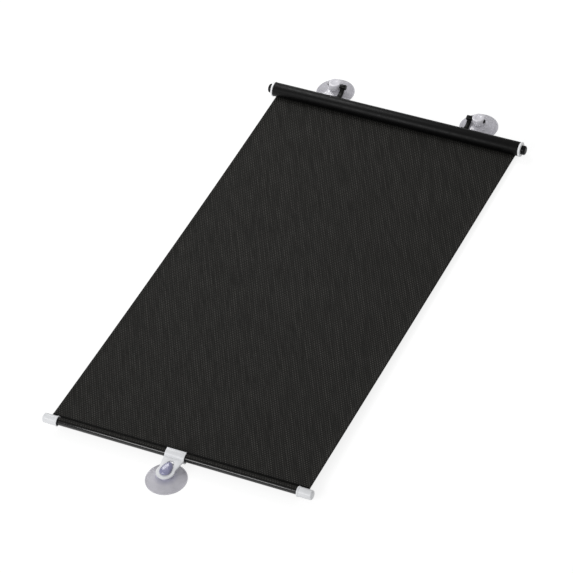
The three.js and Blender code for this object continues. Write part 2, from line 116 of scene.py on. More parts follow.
def quadratic(start, control, end, steps):
    """Points along a curve with one control point."""
    points = []
    for i in range(steps + 1):
        t = i / steps
        weights = ((1 - t) ** 2, 2 * t * (1 - t), t * t)
        points.append(tuple(
            sum(w * p[k] for w, p in zip(weights, (start, control, end)))
            for k in range(2)
        ))
    return points


def object_from(name, bm):
    """A new object in the scene from a bmesh in millimetres."""
    bmesh.ops.remove_doubles(bm, verts=bm.verts, dist=1e-4)
    bmesh.ops.recalc_face_normals(bm, faces=bm.faces)
    bmesh.ops.scale(bm, vec=(MM, MM, MM), verts=bm.verts)
    mesh = bpy.data.meshes.new(name)
    bm.to_mesh(mesh)
    bm.free()
    obj = bpy.data.objects.new(name, mesh)
    bpy.context.scene.collection.objects.link(obj)
    return obj


def turned(name, profile, axis="X", centre=(0.0, 0.0, 0.0), segments=96, ring=False):
    """A form turned about X or Z from (radius, place along the axis) points."""
    bm = bmesh.new()
    columns = []
    for i in range(segments):
        turn = 2 * math.pi * i / segments
        column = []
        for radius, along in profile:
            a, b = radius * math.cos(turn), radius * math.sin(turn)
            place = (along, a, b) if axis == "X" else (a, b, along)
            column.append(bm.verts.new(Vector(place) + Vector(centre)))
        columns.append(column)
    spans = len(profile) if ring else len(profile) - 1
    for i in range(segments):
        here, there = columns[i], columns[(i + 1) % segments]
        for j in range(spans):
            k = (j + 1) % len(profile)
            bm.faces.new((here[j], there[j], there[k], here[k]))
    return object_from(name, bm)


def rod(name, radius, start, end, centre, axis="X", edge=0.3, segments=48):
    """A round rod with softened ends."""
    profile = [
        (0, start), (radius - edge, start), (radius - edge * 0.3, start + edge * 0.3),
        (radius, start + edge), (radius, end - edge), (radius - edge * 0.3, end - edge * 0.3),
        (radius - edge, end), (0, end),
    ]
    return turned(name, profile, axis, centre, segments)


def prism(name, loops, start, end, axis="X", centre=(0.0, 0.0, 0.0)):
    """A flat outline, with any holes, drawn out along X or Z."""
    bm = bmesh.new()
    edges = []
    for loop in loops:
        verts = []
        for a, b in loop:
            place = (start, a, b) if axis == "X" else (a, b, start)
            verts.append(bm.verts.new(Vector(place) + Vector(centre)))
        for i, vert in enumerate(verts):
            edges.append(bm.edges.new((vert, verts[(i + 1) % len(verts)])))
    bmesh.ops.triangle_fill(bm, edges=edges, use_beauty=True)
    made = bmesh.ops.extrude_face_region(bm, geom=list(bm.faces))
    moved = [part for part in made["geom"] if isinstance(part, bmesh.types.BMVert)]
    step = Vector((end - start, 0, 0)) if axis == "X" else Vector((0, 0, end - start))
    bmesh.ops.translate(bm, verts=moved, vec=step)
    return object_from(name, bm)


def applied(obj):
    """Makes an object's modifiers part of its mesh."""
    graph = bpy.context.evaluated_depsgraph_get()
    made = bpy.data.meshes.new_from_object(obj.evaluated_get(graph))
    old = obj.data
    obj.modifiers.clear()
    obj.data = made
    bpy.data.meshes.remove(old)
    return obj


def softened(obj, width, segments=2, angle=40.0):
    """Rounds an object's sharp edges, width in millimetres."""
    bevel = obj.modifiers.new("soft_edges", "BEVEL")
    bevel.width = width * MM
    bevel.segments = segments
    bevel.limit_method = "ANGLE"
    bevel.angle_limit = math.radians(angle)
    bevel.use_clamp_overlap = True
    return applied(obj)


def removed(obj):
    """Takes an object and its mesh out of the file."""
    mesh = obj.data
    bpy.data.objects.remove(obj)
    bpy.data.meshes.remove(mesh)


def combined(obj, others, operation):
    """Adds or cuts other forms, which are used up."""
    for other in others:
        change = obj.modifiers.new("combine", "BOOLEAN")
        change.operation = operation
        change.solver = "EXACT"
        change.object = other
        applied(obj)
        removed(other)
    if not obj.data.polygons:
        raise RuntimeError(f"{obj.name} was lost when its parts were combined")
    return obj


def cleaned(obj):
    """Dissolves the slivers that combining leaves behind."""
    bm = bmesh.new()
    bm.from_mesh(obj.data)
    bmesh.ops.remove_doubles(bm, verts=bm.verts, dist=SLIVER)
    bmesh.ops.dissolve_degenerate(bm, edges=bm.edges, dist=SLIVER)
    bm.to_mesh(obj.data)
    bm.free()
    return obj


def mirrored_copy(obj, name):
    """The left-hand twin of a right-hand form."""
    bm = bmesh.new()
    bm.from_mesh(obj.data)
    bmesh.ops.scale(bm, vec=(-1, 1, 1), verts=bm.verts)
    bmesh.ops.reverse_faces(bm, faces=bm.faces)
    mesh = bpy.data.meshes.new(name)
    bm.to_mesh(mesh)
    bm.free()
    twin = bpy.data.objects.new(name, mesh)
    bpy.context.scene.collection.objects.link(twin)
    return twin


def finished(obj, material, body, replaces=(), angle=32.0):
    """Shades, paints and hangs a piece on its body."""
    obj.data.materials.clear()
    obj.data.materials.append(material)
    for face in obj.data.polygons:
        face.use_smooth = True
    obj.data.set_sharp_from_angle(angle=math.radians(angle))
    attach(obj, body)
    if replaces:
        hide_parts(*replaces)
    return obj


# Materials

ROW_LEAN = -30.0


class Board:
    """A node material with its surface shader and object coordinates."""

    def __init__(self, name):
        self.material = bpy.data.materials.new(name)
        self.material.use_nodes = True
        self.tree = self.material.node_tree
        self.shader = self.tree.nodes["Principled BSDF"]
        self.place = self.tree.nodes.new("ShaderNodeTexCoord").outputs["Object"]

    def node(self, kind, **values):
        made = self.tree.nodes.new(kind)
        for key, value in values.items():
            setattr(made, key, value)
        return made

    def link(self, start, end):
        self.tree.links.new(start, end)

    def put(self, socket, value):
        """Links an output, or sets a plain value, on a socket."""
        if isinstance(value, bpy.types.NodeSocket):
            self.link(value, socket)
        else:
            socket.default_value = value

    def maths(self, operation, first, second=0.0):
        made = self.node("ShaderNodeMath", operation=operation)
        self.put(made.inputs[0], first)
        self.put(made.inputs[1], second)
        return made.outputs[0]

    def noise(self, scale, detail=3.0, stretch=(1.0, 1.0, 1.0), turn=0.0):
        """Noise, drawn out along an axis and turned about Z in degrees where asked."""
        turned_place = self.node("ShaderNodeMapping")
        turned_place.inputs["Rotation"].default_value = (0.0, 0.0, math.radians(turn))
        self.link(self.place, turned_place.inputs["Vector"])
        drawn = self.node("ShaderNodeMapping")
        drawn.inputs["Scale"].default_value = stretch
        self.link(turned_place.outputs["Vector"], drawn.inputs["Vector"])
        made = self.node("ShaderNodeTexNoise")
        made.inputs["Scale"].default_value = scale
        made.inputs["Detail"].default_value = detail
        self.link(drawn.outputs["Vector"], made.inputs["Vector"])
        return made.outputs["Fac"]

    def spread(self, value, low, high, start=0.3, end=0.7):
        """Maps a 0 to 1 value to a range."""
        made = self.node("ShaderNodeMapRange")
        self.link(value, made.inputs["Value"])
        for name, number in (("From Min", start), ("From Max", end), ("To Min", low), ("To Max", high)):
            made.inputs[name].default_value = number
        return made.outputs["Result"]

    def blend_colours(self, factor, first, second):
        made = self.node("ShaderNodeMix", data_type="RGBA")
        self.put(made.inputs[0], factor)
        self.put(made.inputs[6], first)
        self.put(made.inputs[7], second)
        return made.outputs[2]

    def bump(self, height, distance, strength=1.0):
        made = self.node("ShaderNodeBump")
        made.inputs["Distance"].default_value = distance
        made.inputs["Strength"].default_value = strength
        self.link(height, made.inputs["Height"])
        self.link(made.outputs["Normal"], self.shader.inputs["Normal"])

    def colour(self, value):
        self.put(self.shader.inputs["Base Color"], value)

    def roughness(self, value):
        self.put(self.shader.inputs["Roughness"], value)


# The flanges use a paler copy of the white plastic: painted light on them, as they are the same plastic as
# the caps and clip
FLANGE_PAINTED_LIGHT = 1.22
VINYL_THICKENS = (0.0045, 0.0085)
CLEAR_SKIRT = 0.5
CLEAR_KNOB = 0.12
PINHOLE_RADIUS = 0.0003


def shade(colour, factor):
    """A darker or paler tone of a colour."""
    return (*[min(1.0, c * factor) for c in colour[:3]], 1.0)


def moulded_plastic(name, colour, roughness, edge_wear=1.25, shine=0.5):
    """Moulded plastic: faint mottling, uneven gloss, fine grain and rubbed edges."""
    board = Board(name)
    board.shader.inputs["Specular IOR Level"].default_value = shine
    mottled = board.blend_colours(board.noise(90, 4), shade(colour, 0.9), shade(colour, 1.08))
    wear = board.node("ShaderNodeNewGeometry").outputs["Pointiness"]
    rubbed = board.spread(wear, 0.0, 0.35, 0.52, 0.6)
    board.colour(board.blend_colours(rubbed, mottled, shade(colour, edge_wear)))
    board.roughness(board.spread(board.noise(220, 3), roughness - 0.06, roughness + 0.07))
    board.bump(board.noise(2600, 2), 0.00002, 0.5)
    return board.material


def drawn_plastic(name, colour, roughness, shine):
    """Extruded plastic: fine die lines along its length."""
    board = Board(name)
    board.shader.inputs["Specular IOR Level"].default_value = shine
    lines = board.noise(1400, 2, stretch=(0.01, 1.0, 1.0))
    board.colour(board.blend_colours(lines, shade(colour, 0.85), shade(colour, 1.2)))
    board.roughness(board.spread(board.noise(160, 3), roughness - 0.05, roughness + 0.08))
    board.bump(lines, 0.00003, 0.5)
    return board.material


def soft_vinyl(name, colour, thick_colour, clear):
    """Clear soft vinyl: paler where it is thick, with flow marks and a wet gloss."""
    board = Board(name)
    flow = board.noise(60, 3, stretch=(1.0, 1.0, 0.4))
    thin = board.blend_colours(flow, shade(colour, 0.92), shade(colour, 1.05))
    split = board.node("ShaderNodeSeparateXYZ")
    board.link(board.place, split.inputs[0])
    thick = board.spread(split.outputs["Z"], 0.0, 1.0, *VINYL_THICKENS)
    board.colour(board.blend_colours(thick, thin, thick_colour))
    board.roughness(board.spread(board.noise(240, 2), 0.1, 0.24))
    board.shader.inputs["Transmission Weight"].default_value = clear
    board.shader.inputs["IOR"].default_value = 1.5
    board.shader.inputs["Coat Weight"].default_value = 0.35
    board.shader.inputs["Coat Roughness"].default_value = 0.08
    board.bump(board.noise(420, 2), 0.00006, 0.4)
    return board.material


def metal(name, colour, roughness, stretch):
    """Drawn metal with fine lines."""
    board = Board(name)
    lines = board.noise(900, 3, stretch=stretch)
    board.colour(board.blend_colours(lines, shade(colour, 0.85), shade(colour, 1.1)))
    board.shader.inputs["Metallic"].default_value = 1.0
    board.roughness(board.spread(lines, roughness - 0.06, roughness + 0.1))
    board.bump(lines, 0.00002, 0.5)
    return board.material


def hole_distance(board, pitch, shift):
    """Distance in metres from the nearest hole of one rectangular half of the staggered pattern."""
    split = board.node("ShaderNodeSeparateXYZ")
    board.link(board.place, split.inputs[0])
    squares = []
    for axis, step in (("X", pitch), ("Y", pitch * math.sqrt(3))):
        cell = board.maths("ADD", board.maths("MULTIPLY", split.outputs[axis], 1 / step), shift)
        offset = board.maths("MULTIPLY", board.maths("SUBTRACT", board.maths("FRACT", cell), 0.5), step)
        squares.append(board.maths("MULTIPLY", offset, offset))
    return board.maths("SQRT", board.maths("ADD", squares[0], squares[1]))


def mesh_cloth(name, colour, shaded_floor_colour, pitch, hole_radius):
    """Perforated black film: staggered holes with painted shade in them, the pale ground dim in the cloth's
    shadow behind them, and a raised web.
    """
    board = Board(name)
    nearest = board.maths("MINIMUM", hole_distance(board, pitch, 0.0), hole_distance(board, pitch, 0.5))
    web = board.spread(nearest, 0.0, 1.0, hole_radius * 0.8, hole_radius * 1.2)
    tone = board.blend_colours(board.noise(14, 2), shade(colour, 0.85), shade(colour, 1.15))
    fleck = board.spread(board.noise(900, 2), 0.0, 0.6)
    tone = board.blend_colours(fleck, tone, shade(colour, 1.6))
    # Streaks vary the painted shade seen in the holes
    streak = board.spread(board.noise(520, 1, stretch=(1.0, 0.05, 1.0), turn=ROW_LEAN), 0.55, 1.55)
    holes = board.node("ShaderNodeVectorMath", operation="SCALE")
    board.put(holes.inputs[0], shaded_floor_colour[:3])
    board.put(holes.inputs["Scale"], streak)
    board.colour(board.blend_colours(web, holes.outputs[0], tone))
    board.roughness(board.spread(board.noise(300, 2), 0.5, 0.68))
    board.shader.inputs["Specular IOR Level"].default_value = 0.05
    board.bump(web, 0.00025, 0.8)
    return board.material


def floor_paint(name, colour):
    """A pale floor that reads as white to the camera and keeps a soft shadow."""
    board = Board(name)
    tree = board.tree
    output = tree.nodes["Material Output"]
    board.colour(board.blend_colours(board.noise(1.5, 2), shade(colour, 0.99), colour))
    board.shader.inputs["Roughness"].default_value = 0.9
    shaded = board.node("ShaderNodeBsdfDiffuse")
    shaded.inputs["Color"].default_value = shade(colour, 0.28)
    glow = board.node("ShaderNodeEmission")
    glow.inputs["Color"].default_value = (1.0, 1.0, 1.0, 1.0)
    glow.inputs["Strength"].default_value = 0.84
    seen = board.node("ShaderNodeAddShader")
    board.link(shaded.outputs[0], seen.inputs[0])
    board.link(glow.outputs[0], seen.inputs[1])
    path = board.node("ShaderNodeLightPath")
    ray = board.maths("MAXIMUM", path.outputs["Is Camera Ray"], path.outputs["Is Glossy Ray"])
    ray = board.maths("MAXIMUM", ray, path.outputs["Is Transmission Ray"])
    mix = board.node("ShaderNodeMixShader")
    board.link(ray, mix.inputs[0])
    board.link(board.shader.outputs[0], mix.inputs[1])
    board.link(seen.outputs[0], mix.inputs[2])
    board.link(mix.outputs[0], output.inputs["Surface"])
    return board.material


# Settings that a user may change


def colour_property(name, description, default):
    return FloatVectorProperty(
        name=name, description=description, default=default, size=4, min=0.0, max=1.0, subtype="COLOR",
    )


class SunshadeColours(bpy.types.PropertyGroup):
    """Colours of the sunshade's finishes."""

    housing: colour_property("Housing", "Satin black of the roller housing", (0.002, 0.002, 0.0021, 1.0))
    gloss: colour_property("Gloss black", "Black of the bar, hooks and knobs", (0.003, 0.003, 0.0032, 1.0))
    white: colour_property("White plastic", "White of the flanges, caps and clip", (0.76, 0.77, 0.79, 1.0))
    cloth: colour_property("Cloth", "Black of the perforated cloth", (0.0112, 0.0109, 0.0101, 1.0))
    # The holes' colour is painted shade: the pale floor in the cloth's shadow, seen through the holes
    holes: colour_property("Holes", "Pale ground seen dimly through the holes", (0.044, 0.0428, 0.04, 1.0))
    vinyl: colour_property("Vinyl", "Tint of the suction cups' skirts", (0.66, 0.65, 0.7, 1.0))
    knobs: colour_property("Knobs", "Milky tint of the top cups' knobs", (0.8, 0.79, 0.84, 1.0))
    bottom_head: colour_property("Bottom head", "Tint of the bottom cup's head", (0.29, 0.29, 0.45, 1.0))
    floor: colour_property("Floor", "Pale floor under the sunshade", (0.86, 0.86, 0.86, 1.0))


class SunshadeSizes(bpy.types.PropertyGroup):
    """Fine sizes that the solids leave open."""

    mesh_pitch: FloatProperty(
        name="Mesh pitch", description="Distance between the holes of the cloth",
        default=0.0034, min=0.0005, max=0.01, subtype="DISTANCE", unit="LENGTH",
    )
    hole_radius: FloatProperty(
        name="Hole radius", description="Radius of the holes of the cloth",
        default=0.0009, min=0.0001, max=0.005, subtype="DISTANCE", unit="LENGTH",
    )
    left_sag: FloatProperty(
        name="Left sag", description="How far the cloth's left edge hangs below a straight line",
        default=0.0042, min=0.0, max=0.006, subtype="DISTANCE", unit="LENGTH",
    )
    right_sag: FloatProperty(
        name="Right sag", description="How far the cloth's right edge hangs below a straight line",
        default=0.0008, min=0.0, max=0.006, subtype="DISTANCE", unit="LENGTH",
    )
    cloth_rows: IntProperty(
        name="Cloth rows", description="Facets along the cloth", default=150, min=20, max=400,
    )


def colours():
    return bpy.context.scene.sunshade_colours


def sizes():
    return bpy.context.scene.sunshade_sizes


FINISHES = {}


def finish_named(name):
    """Each finish is made once and shared by its pieces."""
    if name not in FINISHES:
        tint = colours()
        makers = {
            "housing": lambda: drawn_plastic("satin_black_housing", tint.housing[:], 0.42, 0.15),
            "gloss_line": lambda: drawn_plastic("gloss_black_profile", tint.gloss[:], 0.13, 0.5),
            "gloss": lambda: moulded_plastic("gloss_black_moulded", tint.gloss[:], 0.36, 2.0, 0.14),
            "white": lambda: moulded_plastic("white_moulded", tint.white[:], 0.36, edge_wear=1.06),
            # Paler copy of the white plastic for the flanges: painted light
            "white_end_painted_light": lambda: moulded_plastic(
                "white_flange_painted_light", shade(tint.white, FLANGE_PAINTED_LIGHT), 0.36, edge_wear=1.02),
            "cloth": lambda: mesh_cloth(
                "perforated_cloth", tint.cloth[:], tint.holes[:], sizes().mesh_pitch, sizes().hole_radius),
            "selvedge": lambda: mesh_cloth(
                "sealed_selvedge", shade(tint.cloth, 0.3), shade(tint.cloth, 0.6),
                sizes().mesh_pitch, PINHOLE_RADIUS),
            "top_vinyl": lambda: soft_vinyl("clear_vinyl", tint.vinyl[:], tint.knobs[:], CLEAR_SKIRT),
            "top_knob": lambda: soft_vinyl("milky_vinyl", tint.vinyl[:], tint.knobs[:], CLEAR_KNOB),
            "bottom_vinyl": lambda: soft_vinyl(
                "clear_vinyl_bottom", tint.vinyl[:], tint.bottom_head[:], CLEAR_SKIRT),
            "bottom_head": lambda: soft_vinyl(
                "tinted_vinyl", tint.vinyl[:], tint.bottom_head[:], CLEAR_KNOB),
            "steel": lambda: metal("spring_steel", (0.55, 0.56, 0.58, 1.0), 0.3, (0.05, 1.0, 1.0)),
            "tube": lambda: metal("aluminium_tube", (0.68, 0.69, 0.71, 1.0), 0.38, (0.02, 1.0, 1.0)),
            "grey": lambda: moulded_plastic("grey_moulded", (0.3, 0.3, 0.31, 1.0), 0.5, edge_wear=1.2),
        }
        FINISHES[name] = makers[name]()
    return FINISHES[name]


# Roller housing and its ends

ROLLER_CENTRE = (0.0, ROLLER_Y, AXIS_Z)
HOUSING_RADIUS = 10.0
HOUSING_WALL = 1.0
HOUSING_SLOT = (-120.0, 214.0)


class SUNSHADE_OT_housing(bpy.types.Operator):
    """Builds the slotted roller housing"""

    bl_idname = "sunshade.housing"
    bl_label = "Roller housing"

    def execute(self, context):
        start, end = HOUSING_SLOT
        outer = arc(HOUSING_RADIUS, start, end, 110)
        inner = arc(HOUSING_RADIUS - HOUSING_WALL, end, start, 110)
        half = HOUSING_LENGTH / 2
        housing = prism("roller_housing", [outer + inner], -half, half, centre=ROLLER_CENTRE)
        softened(housing, 0.2)
        finished(housing, finish_named("housing"), "cassette", ["cassette_housing"])
        return {"FINISHED"}


FLANGE_RADIUS = FLANGE_SIZE[1] / 2
FLANGE_THICKNESS = 2.6
FACE_GROOVE = (7.3, 8.4)
GROOVE_DEPTH = 0.25
SPIGOT_DEPTH = 3.0
SPIGOT_BORE = 7.2
SHANK_RADIUS = 3.0
RIGHT_SHANK_LENGTH = 19.0
LEFT_SHANK_LENGTH = 14.0
SOCKET_RADIUS = 2.25
SOCKET_DEPTH = 9.0
KNOB_RADIUS = solid_box("end_knob_right")[0][1] / 2
KNOB_LENGTH = 6.0
CROWN_HEIGHT = 2.4
CROWN_INSET = 1.6
CROWN_ROLL = 1.2


def end_flange():
    """The white disc on the housing's right end."""
    seat = HOUSING_LENGTH / 2 + GAP
    face = seat + FLANGE_THICKNESS
    inside = HOUSING_LENGTH / 2 - SPIGOT_DEPTH
    spigot = HOUSING_RADIUS - HOUSING_WALL - GAP
    bore = SHANK_RADIUS + GAP
    groove_inner, groove_outer = FACE_GROOVE
    profile = [
        (SPIGOT_BORE, inside), (spigot - 0.3, inside), (spigot, inside + 0.3), (spigot, seat),
        (FLANGE_RADIUS - 0.2, seat), (FLANGE_RADIUS, seat + 0.2), (FLANGE_RADIUS, face - 0.6),
        (FLANGE_RADIUS - 0.18, face - 0.18), (FLANGE_RADIUS - 0.6, face),
        (groove_outer + 0.2, face), (groove_outer, face - GROOVE_DEPTH),
        (groove_inner, face - GROOVE_DEPTH), (groove_inner - 0.2, face),
        (bore, face), (bore, seat), (SPIGOT_BORE, seat),
    ]
    return turned("flange_right", profile, centre=ROLLER_CENTRE, ring=True)


def end_knob(name, shank_length, socket):
    """A black end knob with the shank that the roller turns on."""
    seat = HOUSING_LENGTH / 2 + FLANGE_THICKNESS + 2 * GAP
    face = seat + KNOB_LENGTH
    start = seat - GAP - shank_length
    shank = [(0, start), (SHANK_RADIUS - 0.2, start), (SHANK_RADIUS, start + 0.2)]
    if socket:
        floor = start + SOCKET_DEPTH
        shank = [(0, floor), (SOCKET_RADIUS, floor), (SOCKET_RADIUS, start), (SHANK_RADIUS, start)]
    outside = [
        (SHANK_RADIUS, seat), (KNOB_RADIUS - 0.5, seat), (KNOB_RADIUS - 0.15, seat + 0.15),
        (KNOB_RADIUS, seat + 0.5), (KNOB_RADIUS, face - CROWN_HEIGHT),
    ]
    crown = [
        (KNOB_RADIUS - CROWN_INSET * (1 - math.cos(math.radians(a))) - CROWN_ROLL * (a / 90) ** 2,
         face - CROWN_HEIGHT + (CROWN_HEIGHT - 0.1) * math.sin(math.radians(a)))
        for a in range(15, 91, 15)
    ]
    return turned(name, shank + outside + crown + [(0, face)], centre=ROLLER_CENTRE)


class SUNSHADE_OT_ends(bpy.types.Operator):
    """Builds the white end flanges and the black end knobs"""

    bl_idname = "sunshade.ends"
    bl_label = "Housing ends"

    def execute(self, context):
        flange = end_flange()
        twin = mirrored_copy(flange, "flange_left")
        for piece, node in ((flange, "end_flange_right"), (twin, "end_flange_left")):
            finished(piece, finish_named("white_end_painted_light"), "cassette", [node])
        knob = end_knob("knob_right", RIGHT_SHANK_LENGTH, True)
        plain_knob = end_knob("plain_knob", LEFT_SHANK_LENGTH, False)
        knob_left = mirrored_copy(plain_knob, "knob_left")
        removed(plain_knob)
        for piece, node in ((knob, "end_knob_right"), (knob_left, "end_knob_left")):
            finished(piece, finish_named("gloss"), "cassette", [node])
        return {"FINISHED"}


# What is inside the housing

WOUND_INNER = 5.7
WOUND_OUTER = solid_box("wound_fabric")[0][1] / 2
ROLL_TURNS = 2.4
ROLL_STEPS = 170
FILM = 0.2


class SUNSHADE_OT_roller(bpy.types.Operator):
    """Paints the roller's inner pieces and winds the cloth left on the tube"""

    bl_idname = "sunshade.roller"
    bl_label = "Roller"

    def execute(self, context):
        looks = {
            "spring_mandrel": "steel",
            "torsion_spring": "steel",
            "roller_tube": "tube",
            "tube_plug_right": "grey",
            "tube_plug_left": "grey",
            "spring_plug": "grey",
        }
        for node, look in looks.items():
            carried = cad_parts[node]
            carried.data.materials.clear()
            carried.data.materials.append(finish_named(look))
        grow = WOUND_OUTER - FILM - WOUND_INNER
        spiral = []
        for layer in (FILM, 0.0):
            points = []
            for i in range(ROLL_STEPS + 1):
                share = i / ROLL_STEPS
                turn = -90 - 360 * ROLL_TURNS * (1 - share)
                points.append(polar(WOUND_INNER + layer + grow * share, turn))
            spiral.append(points)
        outline = spiral[0] + spiral[1][::-1]
        half = CLOTH_WIDTH / 2 - GAP
        roll = prism("cloth_on_roller", [outline], -half, half, centre=ROLLER_CENTRE)
        finished(roll, finish_named("cloth"), "roller", ["wound_fabric"])
        return {"FINISHED"}


# Hooks

HOOK_X = 95.9
HOOK_WIDTH = 6.0
SADDLE_THICKNESS = 1.6
SADDLE_DEGREES = (-65, 20)
ARM_THICKNESS = 3.0
ARM_FOOT_DEGREES = -20
ARM_DIP = (26.0, -9.5)
TOP_CUP_X, PIN_Y = TOP_CUP_MIDDLE[:2]
PIN_REACH = PIN_Y - ROLLER_Y
PIN_Z = 13.0
PIN_RADIUS = 2.5
PIN_TIP = 1.5
BOSS_RADIUS = 3.6
BOSS_PAST_ARM = (1.6, 0.4)
TOP_KNOB_RADIUS = 8.5


def hook():
    """Saddle, arm, boss and pin of the right-hand hook, as one moulding."""
    inner = HOUSING_RADIUS + GAP
    outer = inner + SADDLE_THICKNESS
    start, end = HOOK_X - HOOK_WIDTH / 2, HOOK_X + HOOK_WIDTH / 2
    low, high = SADDLE_DEGREES
    saddle = arc(outer, low, high, 40) + arc(inner, high, low, 40)
    foot = polar(inner + SADDLE_THICKNESS / 2, ARM_FOOT_DEGREES)
    path = quadratic(foot, ARM_DIP, (PIN_REACH, PIN_Z - AXIS_Z), 24)
    body = prism("hook_saddle", [saddle], start, end, centre=ROLLER_CENTRE)
    arm = prism("hook_arm", [band(path, ARM_THICKNESS)], start, end, centre=ROLLER_CENTRE)
    softened(combined(body, [arm], "UNION"), 0.4)
    pin_centre = (0.0, PIN_Y, PIN_Z)
    before, after = BOSS_PAST_ARM
    boss = rod("hook_boss", BOSS_RADIUS, start - before, end + after, pin_centre, edge=0.5)
    pin = rod("hook_pin", PIN_RADIUS, HOOK_X, TOP_CUP_X + TOP_KNOB_RADIUS + PIN_TIP, pin_centre, edge=0.5)
    return cleaned(combined(body, [boss, pin], "UNION"))


class SUNSHADE_OT_hooks(bpy.types.Operator):
    """Builds the two black hooks behind the housing"""

    bl_idname = "sunshade.hooks"
    bl_label = "Hooks"

    def execute(self, context):
        right = hook()
        left = mirrored_copy(right, "hook_left_moulded")
        right.name = "hook_right_moulded"
        for piece, node in ((right, "hook_right"), (left, "hook_left")):
            finished(piece, finish_named("gloss"), "cassette", [node])
        return {"FINISHED"}


# Cloth

HEM_REACH = 10.5
CLOTH_THICKNESS = 0.34
SELVEDGE_WIDTH = 4.0
SELVEDGE_THICKNESS = 0.7
SELVEDGE_STEP = 0.4
EDGE_ROUND = 0.3
CLOTH_COLUMNS = 60
SOLID_SELVEDGE = 0.9
SHEET_START_Z = AXIS_Z - WOUND_OUTER - CLOTH_GAP - SOLID_SELVEDGE / 2

# Height, turn per millimetre across, turn at the middle and drift along of each shallow wave
CLOTH_WAVES = ((0.22, 0.021, 1.3, 0.0), (0.14, 0.05, 0.0, 5.0))


def cloth_height(x, share):
    """Height of the drawn-out cloth's middle layer, in millimetres."""
    side = 0.5 + x / CLOTH_WIDTH
    sag = (sizes().left_sag * (1 - side) + sizes().right_sag * side) / MM
    straight = SHEET_START_Z + (AXIS_Z - SHEET_START_Z) * share
    held = math.sin(math.pi * share)
    wave = sum(
        height * math.sin(x * rate + start + share * drift)
        for height, rate, start, drift in CLOTH_WAVES
    )
    return straight - sag * 4 * share * (1 - share) + wave * held


def cloth_columns():
    """Places across the cloth, with the selvedges' inner edges among them."""
    half = CLOTH_WIDTH / 2
    open_half = half - SELVEDGE_WIDTH
    start = SELVEDGE_STEP - open_half
    inner = [start - 2 * start * i / CLOTH_COLUMNS for i in range(CLOTH_COLUMNS + 1)]
    return [-half, EDGE_ROUND - half, -open_half, *inner, open_half, half - EDGE_ROUND, half]


def drawn_cloth():
    """The sheet between the roller and the hem, a thin closed form."""
    start, end = ROLLER_Y, BAR_Y + HEM_REACH + GAP
    rows = sizes().cloth_rows
    across = cloth_columns()
    bm = bmesh.new()
    layers = []
    for side in (1, -1):
        grid = []
        for i in range(rows + 1):
            share = i / rows
            y = start + (end - start) * share
            line = []
            for x in across:
                in_band = abs(x) >= CLOTH_WIDTH / 2 - SELVEDGE_WIDTH - 0.01
                thick = SELVEDGE_THICKNESS if in_band else CLOTH_THICKNESS
                if abs(x) > CLOTH_WIDTH / 2 - 0.1:
                    thick *= 0.5
                line.append(bm.verts.new((x, y, cloth_height(x, share) + side * thick / 2)))
            grid.append(line)
        layers.append(grid)
    last = len(across) - 1
    for grid in layers:
        for i in range(rows):
            for j in range(last):
                face = bm.faces.new((grid[i][j], grid[i][j + 1], grid[i + 1][j + 1], grid[i + 1][j]))
                face.material_index = 1 if j < 2 or j > last - 3 else 0
    top, under = layers
    for i in range(rows):
        for j in (0, last):
            face = bm.faces.new((top[i][j], top[i + 1][j], under[i + 1][j], under[i][j]))
            face.material_index = 1
    for j in range(last):
        for i in (0, rows):
            bm.faces.new((top[i][j], top[i][j + 1], under[i][j + 1], under[i][j]))
    return object_from("drawn_cloth", bm)


class SUNSHADE_OT_cloth(bpy.types.Operator):
    """Builds the drawn-out cloth with its sealed selvedges"""

    bl_idname = "sunshade.cloth"
    bl_label = "Cloth"

    def execute(self, context):
        cloth = drawn_cloth()
        finished(cloth, finish_named("cloth"), "cassette", ["fabric_sheet"], angle=60)
        cloth.data.materials.append(finish_named("selvedge"))
        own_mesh(cloth)
        return {"FINISHED"}


# Bottom bar, its hem and caps

BAR_CENTRE = (0.0, BAR_Y, AXIS_Z)
BAR_RADIUS = 4.7
BAR_SLOT_AT = 110.0
HEM_THICKNESS = 1.2
HEM_FILM = 0.5
WELT_RADIUS = WELT_SIZE[1] / 2
LOOP_INNER = WELT_RADIUS + GAP
LOOP_OUTER = LOOP_INNER + HEM_FILM
WRAP_INNER = BAR_RADIUS + CLOTH_GAP
WRAP_OUTER = WRAP_INNER + HEM_FILM
BAR_SEAT = WRAP_OUTER + GAP


def half_angle(half_width, radius):
    """Half of the angle that a width takes up on a circle."""
    return math.degrees(math.asin(half_width / radius))


class SUNSHADE_OT_bar(bpy.types.Operator):
    """Builds the slotted bottom bar and the welt rod inside it"""

    bl_idname = "sunshade.bar"
    bl_label = "Bottom bar"

    def execute(self, context):
        slot_half = HEM_FILM / 2 + GAP
        bore = LOOP_OUTER + GAP
        outer_mouth = half_angle(slot_half, BAR_RADIUS)
        bore_mouth = half_angle(slot_half, bore)
        outer = arc(BAR_RADIUS, BAR_SLOT_AT + outer_mouth, BAR_SLOT_AT + 360 - outer_mouth, 120)
        inner = arc(bore, BAR_SLOT_AT + 360 - bore_mouth, BAR_SLOT_AT + bore_mouth, 60)
        half = BAR_LENGTH / 2
        bar = softened(prism("bar_profile", [outer + inner], -half, half, centre=BAR_CENTRE), 0.15)
        finished(bar, finish_named("gloss_line"), "bar", ["bottom_bar"])
        reach = CLOTH_WIDTH / 2
        welt = rod("welt", WELT_RADIUS, -reach, reach, BAR_CENTRE, edge=0.2, segments=32)
        finished(welt, finish_named("housing"), "bar", ["hem_welt_rod"])
        return {"FINISHED"}


